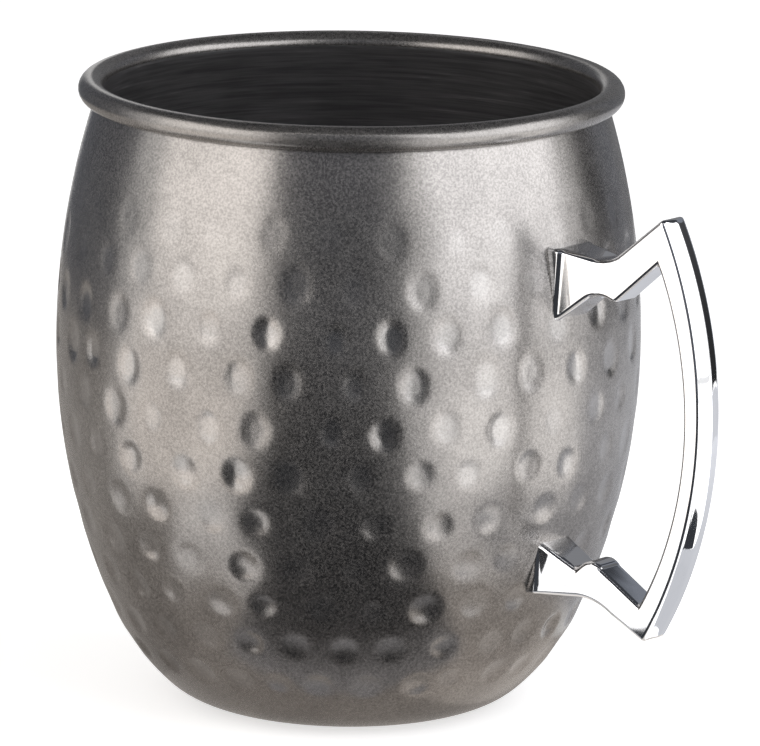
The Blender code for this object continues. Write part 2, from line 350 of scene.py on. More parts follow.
@dataclass(frozen=True)
class TurnedSteel:
    """The mug's inside: darker steel with fine level turning lines."""

    dark: Colour = (0.22, 0.215, 0.22)
    light: Colour = (0.56, 0.55, 0.56)
    scratch: Colour = (0.72, 0.70, 0.69)
    lines: Pattern = Pattern(1900.0, 3.0, 0.7)
    cloud: Pattern = Pattern(90.0, 3.0, 0.55)
    stretch: tuple[float, float, float] = (0.03, 0.03, 1.0)
    line_rise: Range = (0.3, 0.7)
    line_share: float = 0.6
    scratch_lines: Range = (0.62, 0.74)
    scratch_zone: Range = (0.45, 0.6)
    metallic: float = 0.95
    rough: float = 0.25
    rough_lines: float = 0.16
    relief: Relief = Relief(0.02 * MM, 0.6)

    def material(self) -> bpy.types.Material:
        """Draw the turning lines and the brighter scratches among them.

        Returns:
            The finish as a material.
        """
        material, graph = new_material("antique_steel_turned")
        place = graph.place()
        squeeze = graph.add("ShaderNodeMapping", None, {"Vector": place, "Scale": self.stretch})
        lines = graph.noise(squeeze.outputs[0], self.lines)
        cloud = graph.noise(place, self.cloud)
        tone = lines.step(*self.line_rise) * self.line_share + cloud * (1.0 - self.line_share)
        scratched = lines.step(*self.scratch_lines) * cloud.step(*self.scratch_zone)
        graph.surface({
            "Base Color": graph.blend(scratched, graph.blend(tone, self.dark, self.light), self.scratch),
            "Metallic": self.metallic,
            "Roughness": self.rough + lines * self.rough_lines,
            "Normal": graph.bump(lines, self.relief),
        })
        return material


@dataclass(frozen=True)
class MirrorChrome:
    """Polished chrome plate with a trace of handling haze."""

    plate: Colour = (0.90, 0.905, 0.92)
    haze: Colour = (0.84, 0.845, 0.86)
    smear: Pattern = Pattern(140.0, 4.0, 0.6)
    ripple: Pattern = Pattern(220.0, 1.0, 0.4)
    haze_rise: Range = (0.45, 0.75)
    smear_rise: Range = (0.4, 0.8)
    metallic: float = 1.0
    rough: float = 0.035
    rough_smear: float = 0.035
    relief: Relief = Relief(0.03 * MM, 0.25)

    def material(self) -> bpy.types.Material:
        """Lay the haze and a faint ripple over the plate.

        Returns:
            The finish as a material.
        """
        material, graph = new_material("chrome_mirror")
        place = graph.place()
        smear = graph.noise(place, self.smear)
        ripple = graph.noise(place, self.ripple)
        graph.surface({
            "Base Color": graph.blend(smear.step(*self.haze_rise), self.plate, self.haze),
            "Metallic": self.metallic,
            "Roughness": self.rough + smear.step(*self.smear_rise) * self.rough_smear,
            "Normal": graph.bump(ripple, self.relief),
        })
        return material


@dataclass(frozen=True)
class ScrewSteel:
    """Plain stainless steel, a little worn, for the screws."""

    bright: Colour = (0.66, 0.66, 0.67)
    dull: Colour = (0.48, 0.475, 0.47)
    wear: Pattern = Pattern(900.0, 3.0, 0.6)
    metallic: float = 1.0
    rough: float = 0.2
    rough_wear: float = 0.18
    relief: Relief = Relief(0.01 * MM, 0.4)

    def material(self) -> bpy.types.Material:
        """Spread the wear over colour, gloss and relief.

        Returns:
            The finish as a material.
        """
        material, graph = new_material("screw_stainless")
        wear = graph.noise(graph.place(), self.wear)
        graph.surface({
            "Base Color": graph.blend(wear, self.dull, self.bright),
            "Metallic": self.metallic,
            "Roughness": self.rough + wear * self.rough_wear,
            "Normal": graph.bump(wear, self.relief),
        })
        return material


@dataclass(frozen=True)
class SealRubber:
    """Matte black moulded rubber, for the sealing washers."""

    black: Colour = (0.022, 0.022, 0.024)
    worn: Colour = (0.055, 0.054, 0.053)
    dust: Pattern = Pattern(1200.0, 3.0, 0.6)
    worn_rise: Range = (0.5, 0.8)
    rough: float = 0.55
    rough_dust: float = 0.2
    relief: Relief = Relief(0.02 * MM, 0.4)

    def material(self) -> bpy.types.Material:
        """Spread the dust over colour, gloss and relief.

        Returns:
            The finish as a material.
        """
        material, graph = new_material("seal_rubber")
        dust = graph.noise(graph.place(), self.dust)
        graph.surface({
            "Base Color": graph.blend(dust.step(*self.worn_rise), self.black, self.worn),
            "Roughness": self.rough + dust * self.rough_dust,
            "Normal": graph.bump(dust, self.relief),
        })
        return material


def unit(value: float) -> float:
    """Return a value held between 0 and 1."""
    return min(1.0, max(0.0, value))


def sloped(slope: float) -> Vector:
    """Return the direction, as (reach, rise), at an angle over level."""
    return Vector((math.cos(slope), math.sin(slope)))


def turned(place: Vector, turn: float = 0.0) -> Vector:
    """Return a place or direction given as (reach, rise) in space, turned about the vertical axis."""
    return Vector((place.x * math.cos(turn), place.x * math.sin(turn), place.y))


def arc(centre: Vector, radius: float, start: float, end: float, pitch: float) -> list[Vector]:
    """Return points on a circle, both ends included.

    Args:
        centre: The circle's centre.
        radius: Its radius.
        start: First angle.
        end: Last angle.
        pitch: Longest step along the circle.

    Returns:
        The points, from start to end.
    """
    steps = max(2, math.ceil(abs(end - start) * radius / pitch))
    angles = [start + (end - start) * i / steps for i in range(steps + 1)]
    return [centre + sloped(a) * radius for a in angles]


def arc_through(start: Vector, middle: Vector, end: Vector, pitch: float) -> list[Vector]:
    """Return points on the circle through three points, from the first to the last.

    Args:
        start: First point.
        middle: A point on the way.
        end: Last point.
        pitch: Longest step along the circle.

    Returns:
        The points in order.
    """
    first, second = middle - start, end - start
    cross = 2.0 * first.cross(second)
    a, b = first.length_squared, second.length_squared
    centre = start + Vector((second.y * a - first.y * b, first.x * b - second.x * a)) / cross
    angles = [math.atan2(p.y - centre.y, p.x - centre.x) for p in (start, middle, end)]
    sweep = (angles[2] - angles[0]) % math.tau
    if (angles[1] - angles[0]) % math.tau > sweep:
        sweep -= math.tau
    return arc(centre, (start - centre).length, angles[0], angles[0] + sweep, pitch)


def bowed(start: Vector, end: Vector, bow: float, pitch: float) -> list[Vector]:
    """Return points on an arc between two points that bows out towards +X.

    Args:
        start: First point.
        end: Last point.
        bow: The arc's height over its chord.
        pitch: Longest step along the arc.

    Returns:
        The points in order.
    """
    along = (end - start).normalized()
    side = Vector((abs(along.y), -along.x if along.y > 0.0 else along.x))
    return arc_through(start, (start + end) / 2.0 + side * bow, end, pitch)


def add_object(name: str, data: bpy.types.ID) -> bpy.types.Object:
    """Make an object of a mesh, lamp or camera.

    Args:
        name: The object's name.
        data: What it shows.

    Returns:
        The object, linked to the scene.
    """
    item = bpy.data.objects.new(name, data)
    bpy.context.scene.collection.objects.link(item)
    return item


def to_mesh(name: str, shape: bmesh.types.BMesh, materials: Sequence[bpy.types.Material]) -> bpy.types.Mesh:
    """Turn a finished shape into a mesh.

    Args:
        name: The mesh's name.
        shape: The shape, which is freed.
        materials: The mesh's materials, in slot order.

    Returns:
        The mesh.
    """
    mesh = bpy.data.meshes.new(name)
    shape.to_mesh(mesh)
    shape.free()
    for material in materials:
        mesh.materials.append(material)
    return mesh


def link_piece(
    name: str,
    shape: bmesh.types.BMesh,
    materials: Sequence[bpy.types.Material],
    nodes: Sequence[str],
) -> bpy.types.Object:
    """Make a finished shape a piece of the object.

    Args:
        name: The piece's name.
        shape: Its mesh, which is freed.
        materials: Its materials, in slot order.
        nodes: The CAD nodes that it stands for.

    Returns:
        The new object.
    """
    mesh = to_mesh(name, shape, materials)
    piece = add_object(name, mesh)
    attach(piece, ROOT)
    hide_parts(*nodes)
    LOG.info("%s: %d faces", name, len(mesh.polygons))
    return piece


def shade_smooth(shape: bmesh.types.BMesh) -> None:
    """Shade every face of a shape smoothly."""
    for face in shape.faces:
        face.smooth = True


def spun(profile: Sequence[Vector], steps: int, closed: bool = False) -> bmesh.types.BMesh:
    """Turn a profile about the vertical axis.

    Args:
        profile: Points as (radius, height), ending on the axis unless closed.
        steps: Steps in the full turn.
        closed: Whether the last point joins the first.

    Returns:
        A closed mesh with its faces outwards.
    """
    shape = bmesh.new()
    verts = [shape.verts.new(turned(p)) for p in profile]
    pairs = list(zip(verts, verts[1:]))
    if closed:
        pairs.append((verts[-1], verts[0]))
    edges = [shape.edges.new(pair) for pair in pairs]
    bmesh.ops.spin(
        shape, geom=verts + edges, cent=(0.0, 0.0, 0.0), axis=(0.0, 0.0, 1.0), angle=math.tau,
        steps=steps, use_merge=True,
    )
    bmesh.ops.remove_doubles(shape, verts=shape.verts, dist=MERGE)
    bmesh.ops.recalc_face_normals(shape, faces=shape.faces)
    shade_smooth(shape)
    return shape


@dataclass
class Wall:
    """The wall's outer face as arcs that meet tangentially, each turned by the slope of its normal."""

    height: float = 100.0 * MM
    belly_radius: float = 46.35 * MM
    belly_height: float = 58.0 * MM
    shoulder_arc: float = 128.0 * MM
    belly_arc: float = 106.0 * MM
    heel_arc: float = 36.5 * MM
    belly_end: float = math.radians(23.6)
    heel_end: float = math.radians(47.0)
    sheet: float = 0.8 * MM
    curl_radius: float = 1.95 * MM
    curl_end: float = math.radians(-95.0)
    hidden_pitch_ratio: float = 1.6
    neck: float = field(init=False)
    arcs: list[tuple[Vector, float, float, float]] = field(init=False)

    def __post_init__(self) -> None:
        """Place the arcs from the rim's curl down to the flat base."""
        lift = self.height - self.curl_radius - self.belly_height
        self.neck = math.asin(lift / (self.shoulder_arc - self.sheet + self.curl_radius))
        shoulder = Vector((self.belly_radius - self.shoulder_arc, self.belly_height))
        belly = Vector((self.belly_radius - self.belly_arc, self.belly_height))
        heel = belly + sloped(-self.belly_end) * (self.belly_arc - self.heel_arc)
        lean = math.sin(self.heel_end)
        corner_arc = (heel.y - self.heel_arc * lean) / (1.0 - lean)
        corner = heel + sloped(-self.heel_end) * (self.heel_arc - corner_arc)
        self.arcs = [
            (shoulder, self.shoulder_arc, self.neck, 0.0),
            (belly, self.belly_arc, 0.0, -self.belly_end),
            (heel, self.heel_arc, -self.belly_end, -self.heel_end),
            (corner, corner_arc, -self.heel_end, -QUARTER),
        ]

    def outline(self, inset: float, pitch: float) -> list[Vector]:
        """Draw the wall from the neck to the edge of the base.

        Args:
            inset: How far inside the outer face the line runs.
            pitch: Longest step along it.

        Returns:
            Points as (radius, height).
        """
        points: list[Vector] = []
        for centre, radius, start, end in self.arcs:
            run = arc(centre, radius - inset, start, end, pitch)
            points.extend(run if not points else run[1:])
        return points

    def curl(self, pitch: float) -> list[Vector]:
        """Draw the rolled rim from the inner face, over the top, round its free edge and back.

        Args:
            pitch: Longest step along its outside; the hidden inside is coarser.

        Returns:
            Points as (radius, height).
        """
        centre, radius, _, _ = self.arcs[0]
        hub = centre + sloped(self.neck) * (radius - self.sheet + self.curl_radius)
        start = math.pi + self.neck
        outside = arc(hub, self.curl_radius, start, self.curl_end, pitch)
        hidden_pitch = pitch * self.hidden_pitch_ratio
        inside = arc(hub, self.curl_radius - self.sheet, self.curl_end, start, hidden_pitch)
        return outside[1:] + inside[:-1]

    def at_length(self, length: float) -> tuple[Vector, float]:
        """Find a place by its distance along the wall above the belly.

        Args:
            length: Distance along the outer face, negative below the belly.

        Returns:
            The point as (radius, height) and the slope of its normal.
        """
        if length >= 0.0:
            centre, radius, _, _ = self.arcs[0]
            slope = length / radius
            return centre + sloped(slope) * radius, slope
        left = -length
        for centre, radius, start, end in self.arcs[1:]:
            slope = start - left / radius
            if slope >= end:
                break
            left -= (start - end) * radius
        return centre + sloped(slope) * radius, slope

    def at_height(self, height: float) -> tuple[Vector, float]:
        """Find a place by its height.

        Args:
            height: Height on the outer face.

        Returns:
            The point as (radius, height) and the slope of its normal.
        """
        for centre, radius, start, end in self.arcs:
            sine = (height - centre.y) / radius
            if math.sin(end) <= sine <= math.sin(start):
                slope = math.asin(sine)
                return centre + sloped(slope) * radius, slope
        raise ValueError("height is off the wall")


@dataclass
class Mark:
    """One hammer mark: an oval floor with a crisp edge and a soft shoulder round it, square to the wall.

    A reach of 1 is the edge of the floor, and spread is where the shoulder ends. The floor rises by hollow
    from its middle to its edge, from a flat 0 to a bowl near 1.
    """

    middle: Vector
    axis: Vector
    side: Vector
    half_width: float
    half_length: float
    depth: float
    lean: Sequence[float]
    hollow: float
    spread: float
    polish: float
    shoulder_power: int = 3
    worn_reach: float = 1.3
    worn_fade: float = 0.5
    up: Vector = field(init=False)

    def __post_init__(self) -> None:
        """Find the direction up the mark."""
        self.up = self.axis.cross(self.side)

    def press(self, place: Vector) -> Range:
        """Find what the mark does to the wall.

        Args:
            place: A place on the wall before it is struck.

        Returns:
            How far it is pushed in, and how far it is rubbed bright.
        """
        offset = place - self.middle
        across, rise = offset.dot(self.side) / self.half_width, offset.dot(self.up) / self.half_length
        reach = math.hypot(across, rise)
        depth = self.depth + self.lean[0] * across + self.lean[1] * rise
        return depth * self._share(reach), self.polish * unit((self.worn_reach - reach) / self.worn_fade)

    def _share(self, reach: float) -> float:
        """Return the share of the full depth, from 1 in the middle to 0 at the shoulder's end."""
        if reach < 1.0:
            return 1.0 - self.hollow * reach**2
        return (1.0 - self.hollow) * unit((self.spread - reach) / (self.spread - 1.0)) ** self.shoulder_power


@dataclass
class HammerMarks:
    """Rows of shallow marks, each row turned a little past the one above, and set by hand."""

    columns: int = 30
    first_row: float = 25.0 * MM
    last_row: float = -50.5 * MM
    row_pitch: float = 7.5 * MM
    row_turn: float = math.radians(5.7)
    start_turn: float = math.radians(-112.2)
    width: float = 1.5 * MM
    length: float = 2.05 * MM
    depth: float = 0.30 * MM
    spread: float = 1.95
    hollow: float = 0.12
    lean: float = 0.075 * MM
    turn_scatter: float = math.radians(1.5)
    rise_scatter: float = 0.55 * MM
    size_range: Range = (0.84, 1.16)
    polish_range: Range = (0.45, 1.0)
    force_range: Range = (0.65, 1.35)
    full_depth_row: float = 8.0 * MM
    fade_power: float = 1.3
    low_force: float = 0.7
    bowl_row: float = -26.0 * MM
    bowl_hollow: float = 0.5
    bowl_width: float = 0.36
    bowl_spread: float = 1.6
    bowl_patina: float = 0.65
    crowd_width: float = 0.5
    crowd_length: float = 0.3
    clear_radius: float = 5.8 * MM
    clear_fade: float = 2.0 * MM
    seed: int = 11

    def rows(self) -> Iterator[tuple[int, float]]:
        """Yield each row's number and its distance along the wall above the belly."""
        count = round((self.first_row - self.last_row) / self.row_pitch)
        for number in range(count + 1):
            yield number, self.first_row - number * self.row_pitch

    def marks(self, wall: Wall, feet: Sequence[Vector]) -> Iterator[Mark]:
        """Set out the marks, each a little different from the next.

        Args:
            wall: The wall's outline.
            feet: Places that stay smooth, where the handle seats.

        Yields:
            Every mark, row by row from the top.
        """
        chance = random.Random(self.seed)
        for row, length in self.rows():
            bowl = unit(length / self.bowl_row)
            for column in range(self.columns):
                turn = self.start_turn + row * self.row_turn + column * math.tau / self.columns
                turn += chance.uniform(-1.0, 1.0) * self.turn_scatter
                along = length + chance.uniform(-1.0, 1.0) * self.rise_scatter
                size = chance.uniform(*self.size_range)
                polish = chance.uniform(*self.polish_range)
                lean = [chance.uniform(-1.0, 1.0) * self.lean for _ in range(2)]
                force = chance.uniform(*self.force_range) * self._row_force(length)
                place, slope = wall.at_length(along)
                centre, axis = turned(place, turn), turned(sloped(slope), turn)
                near = min((centre - foot).length for foot in feet)
                force *= unit((near - self.clear_radius) / self.clear_fade)
                crowding = 1.0 - unit(place.x * math.tau / self.columns / (2.0 * self.length))
                narrow, short = 1.0 - self.crowd_width * crowding, 1.0 - self.crowd_length * crowding
                yield Mark(
                    middle=centre - axis * (wall.sheet / 2.0),
                    axis=axis,
                    side=Vector((-math.sin(turn), math.cos(turn), 0.0)),
                    half_width=self.width * size * narrow * (1.0 + self.bowl_width * bowl),
                    half_length=self.length * size * short,
                    depth=force * self.depth,
                    lean=[force * tilt for tilt in lean],
                    hollow=self.hollow + self.bowl_hollow * bowl,
                    spread=self.spread + (self.bowl_spread - self.spread) * bowl,
                    polish=polish * min(1.0, force) * (1.0 - self.bowl_patina * bowl),
                )

    def strike(self, shape: bmesh.types.BMesh, wall: Wall, feet: Sequence[Vector]) -> int:
        """Press the marks into a turned wall.

        Args:
            shape: The wall's mesh.
            wall: The wall's outline.
            feet: Places that stay smooth, where the handle seats.

        Returns:
            The number of marks.
        """
        struck = shape.verts.layers.float.new(STRUCK)
        verts = list(shape.verts)
        tree = KDTree(len(verts))
        for index, vert in enumerate(verts):
            tree.insert(vert.co, index)
        tree.balance()
        shifts: dict[int, Vector] = {}
        marks = list(self.marks(wall, feet))
        for mark in marks:
            for place, index, _ in tree.find_range(mark.middle, mark.spread * mark.half_length + wall.sheet):
                push, worn = mark.press(place)
                shifts[index] = shifts.get(index, Vector()) - mark.axis * push
                verts[index][struck] = max(verts[index][struck], worn)
        for index, shift in shifts.items():
            verts[index].co += shift
        return len(marks)

    def _row_force(self, length: float) -> float:
        """Return how hard a row is struck: the rows under the rim are faint and the low ones are deep."""
        start = self.first_row + self.row_pitch
        fade = unit((start - length) / (start - self.full_depth_row))
        return fade**self.fade_power + self.low_force * unit(length / self.last_row)


@dataclass
class Body:
    """The drawn barrel: one sheet with a rolled rim, hammered from outside."""

    wall: Wall
    marks: HammerMarks
    steps: int = 384
    outer_pitch: float = 0.60 * MM
    inner_pitch: float = 3.2 * MM
    curl_pitch: float = 0.5 * MM
    base_rings: int = 4
    floor_rise: float = 0.3

    def build(self, feet: Sequence[Vector]) -> bpy.types.Object:
        """Turn the sheet, hammer it and dress it.

        Args:
            feet: Middles of the handle's seats, which stay smooth.

        Returns:
            The finished piece.
        """
        wall = self.wall
        inner = list(reversed(wall.outline(wall.sheet, self.inner_pitch)))
        outer = wall.outline(0.0, self.outer_pitch)
        profile = self._across(inner[0]) + inner + wall.curl(self.curl_pitch) + outer
        profile += list(reversed(self._across(outer[-1])))
        shape = spun(profile, self.steps)
        count = self.marks.strike(shape, wall, feet)
        LOG.info("body: %d hammer marks", count)
        self._split_inside(shape)
        materials = [HammeredSteel().material(), TurnedSteel().material()]
        return link_piece("hammered_body", shape, materials, ["body_shell"])

    def _across(self, edge: Vector) -> list[Vector]:
        """Return points from the axis to just inside an edge of the flat base."""
        return [Vector((edge.x * i / self.base_rings, edge.y)) for i in range(self.base_rings)]

    def _split_inside(self, shape: bmesh.types.BMesh) -> None:
        """Give the faces inside the cup the second material.

        Args:
            shape: The hammered sheet.
        """
        wall = self.wall
        for face in shape.faces:
            middle = face.calc_center_median()
            inward = face.normal.dot(Vector((middle.x, middle.y, 0.0))) < 0.0
            on_floor = face.normal.z > self.floor_rise and middle.z < wall.belly_height
            under_rim = middle.z < wall.height - wall.curl_radius
            face.material_index = int((inward or on_floor) and under_rim)


@dataclass
class Handle:
    """The cast handle: a flat outline with a crowned grip and feet that flare on to the wall.

    The outline's corners and bends are (reach, rise) in millimetres from the middle of a foot's seat.
    """

    wall: Wall
    upper_height: float = 73.8 * MM
    lower_height: float = 28.0 * MM
    middle_height: float = 50.0 * MM
    upper_foot_top: float = 6.3 * MM
    upper_neck_top: Bend = ((6.7, 4.95), (9.1, 5.1), (11.1, 6.1))
    upper_outer_corner: Spot = (19.8, 13.1)
    upper_inner_corner: Spot = (19.0, 5.7)
    upper_cusp: Spot = (10.7, -1.45)
    upper_arch: Bend = ((9.7, -1.1), (7.5, -0.75), (5.1, -1.8))
    upper_foot_bottom: float = -5.8 * MM
    lower_foot_top: float = 4.5 * MM
    lower_notch: Spot = (7.5, 1.2)
    lower_hump: Bend = ((8.6, 2.2), (10.2, 2.85), (12.4, 1.8))
    lower_inner_corner: Spot = (19.9, -2.6)
    lower_outer_corner: Spot = (21.1, -8.2)
    lower_neck_bottom: Bend = ((14.4, -4.9), (11.2, -3.5), (8.0, -3.15))
    lower_foot_bottom: float = -4.4 * MM
    bow_outer: float = 9.0 * MM
    bow_inner: float = 6.8 * MM
    arm_width: float = 5.4 * MM
    cheek_length: float = 12.0 * MM
    cheek_slope: float = 0.15
    cheek_bend: float = 3.0 * MM
    cheek_cuts: int = 8
    low_cheek: float = 0.80
    flare_length: float = 1.3 * MM
    flare_rise: float = 0.55 * MM
    flare_cuts: int = 6
    low_flare: float = 0.25
    crown: float = 0.5 * MM
    crown_cuts: int = 12
    ridge: float = 0.15
    sink: float = 0.6 * MM
    edge: float = 0.7 * MM
    edge_cuts: int = 4
    sharp_angle: float = math.radians(28.0)
    pitch: float = 1.2 * MM
    touch: float = 0.01 * MM
    shading_weight: int = 80

    def seat_height(self, level: Level) -> float:
        """Return the height of the middle of a foot's seat."""
        return self.upper_height if level is Level.UPPER else self.lower_height

    def seat(self, level: Level) -> Vector:
        """Return the middle of a foot's seat on the wall, as (reach, height)."""
        return self.wall.at_height(self.seat_height(level))[0]

    def seats(self) -> list[Vector]:
        """Return the middles of both seats in space."""
        return [turned(self.seat(level)) for level in Level]

    def _foot_end(self, height: float) -> Vector:
        """Return where a foot's edge ends, a little way into the wall."""
        place, slope = self.wall.at_height(height)
        return place - sloped(slope) * self.sink

    @staticmethod
    def _spots(seat: Vector, spots: Sequence[Spot]) -> list[Vector]:
        """Return points of the outline that are given from a seat in millimetres."""
        return [seat + Vector(spot) * MM for spot in spots]

    def _bend(self, seat: Vector, bend: Bend) -> list[Vector]:
        """Return points on a bend of the outline."""
        return arc_through(*self._spots(seat, bend), self.pitch / 2.0)

    def outline(self) -> tuple[list[Vector], range]:
        """Draw the side outline from the upper foot's top round the grip and back along its inside.

        Returns:
            The points as (reach, height), and which of them lie on the grip's outer side.
        """
        up, low = self.seat(Level.UPPER), self.seat(Level.LOWER)
        upper_corners = self.upper_outer_corner, self.upper_inner_corner, self.upper_cusp
        lower_corners = self.lower_outer_corner, self.lower_inner_corner, self.lower_notch
        upper_outer, upper_inner, upper_cusp = self._spots(up, upper_corners)
        lower_outer, lower_inner, lower_notch = self._spots(low, lower_corners)
        points = [self._foot_end(up.y + self.upper_foot_top), *self._bend(up, self.upper_neck_top)]
        first = len(points)
        points += bowed(upper_outer, lower_outer, self.bow_outer, self.pitch)
        last = len(points)
        points += self._bend(low, self.lower_neck_bottom)
        points.append(self._foot_end(low.y + self.lower_foot_bottom))
        points.append(self._foot_end(low.y + self.lower_foot_top))
        points += [lower_notch, *self._bend(low, self.lower_hump)]
        points += bowed(lower_inner, upper_inner, self.bow_inner, self.pitch)
        points += [upper_cusp, *self._bend(up, self.upper_arch)]
        points.append(self._foot_end(up.y + self.upper_foot_bottom))
        return points, range(first, last)

    def build(self) -> bpy.types.Object:
        """Draw the outline, give it width, ease the edges, crown the grip and widen the feet.

        Returns:
            The finished piece.
        """
        points, grip = self.outline()
        shape = bmesh.new()
        half = self.arm_width / 2.0
        side = shape.faces.new([shape.verts.new((p.x, -half, p.y)) for p in points])
        moved = bmesh.ops.extrude_face_region(shape, geom=[side], use_keep_orig=True)
        far = [item for item in moved["geom"] if isinstance(item, bmesh.types.BMVert)]
        bmesh.ops.translate(shape, verts=far, vec=(0.0, self.arm_width, 0.0))
        bmesh.ops.recalc_face_normals(shape, faces=shape.faces)
        self._ease(shape)
        self._crown(shape, points[grip.start:grip.stop])
        self._widen(shape)
        shade_smooth(shape)
        piece = link_piece("cast_handle", shape, [MirrorChrome().material()], ["handle"])
        shading = piece.modifiers.new("Even shading", "WEIGHTED_NORMAL")
        shading.keep_sharp = True
        shading.weight = self.shading_weight
        return piece

    @staticmethod
    def _slice(shape: bmesh.types.BMesh, place: Sequence[float], normal: Sequence[float]) -> None:
        """Cut new edges where a plane crosses the whole shape."""
        geometry = list(shape.verts) + list(shape.edges) + list(shape.faces)
        bmesh.ops.bisect_plane(shape, geom=geometry, dist=MERGE, plane_co=place, plane_no=normal)

    def _reach_line(self) -> tuple[Vector, Vector]:
        """Find the line between the seats.

        Returns:
            A place on it and the direction out from it.
        """
        up, low = self.seats()
        along = (up - low).normalized()
        return low, Vector((along.z, 0.0, -along.x))

    def _ease(self, shape: bmesh.types.BMesh) -> None:
        """Round the casting's sharp edges slightly, apart from the feet's ends in the wall.

        Args:
            shape: The handle's mesh.
        """
        start, normal = self._reach_line()
        sharp = [
            e for e in shape.edges
            if len(e.link_faces) == 2 and e.calc_face_angle() > self.sharp_angle
            and max((v.co - start).dot(normal) for v in e.verts) > self.flare_length
        ]
        bmesh.ops.bevel(
            shape, geom=sharp, offset=self.edge, offset_type="OFFSET", segments=self.edge_cuts, profile=0.5,
            affect="EDGES", clamp_overlap=False, material=-1,
        )

    def _crown(self, shape: bmesh.types.BMesh, grip: Sequence[Vector]) -> None:
        """Raise the grip's outer side to a soft ridge along its middle.

        Args:
            shape: The handle's mesh.
            grip: The outline's points on that side, from the upper corner to the lower one.
        """
        flat = self.arm_width / 2.0 - self.edge
        for number in range(1, self.crown_cuts):
            self._slice(shape, (0.0, flat * (2.0 * number / self.crown_cuts - 1.0), 0.0), (0.0, 1.0, 0.0))
        lines = list(zip(grip, grip[1:]))
        full = math.hypot(1.0, self.ridge) - self.ridge
        for vert in shape.verts:
            place = Vector((vert.co.x, vert.co.z))
            near = min((place - intersect_point_line(place, a, b)[0].to_2d()).length for a, b in lines)
            if abs(vert.co.y) < flat and near < self.touch and grip[-1].y < place.y < grip[0].y:
                fall = math.hypot(vert.co.y / flat, self.ridge) - self.ridge
                vert.co.x += self.crown * (1.0 - fall / full)

    def _widen(self, shape: bmesh.types.BMesh) -> None:
        """Widen both arms towards the wall in a long cheek and a short flare, both less on the lower arm.

        Args:
            shape: The handle's mesh.
        """
        start, normal = self._reach_line()
        for length, cuts in ((self.flare_length, self.flare_cuts), (self.cheek_length, self.cheek_cuts)):
            for number in range(1, cuts + 1):
                self._slice(shape, start + normal * (length * number / cuts), normal)
        radius = (self.flare_length**2 + self.flare_rise**2) / (2.0 * self.flare_rise)
        half = self.arm_width / 2.0
        for vert in shape.verts:
            reach = max(0.0, (vert.co - start).dot(normal))
            cheek = max(0.0, self.cheek_length - reach)
            flare = max(0.0, self.flare_length - reach)
            upper = vert.co.z > self.middle_height
            wide = self.cheek_slope * (math.hypot(cheek, self.cheek_bend) - self.cheek_bend)
            wide *= 1.0 if upper else self.low_cheek
            wide += (1.0 if upper else self.low_flare) * (radius - math.sqrt(radius**2 - flare**2))
            vert.co.y *= (half + wide) / half


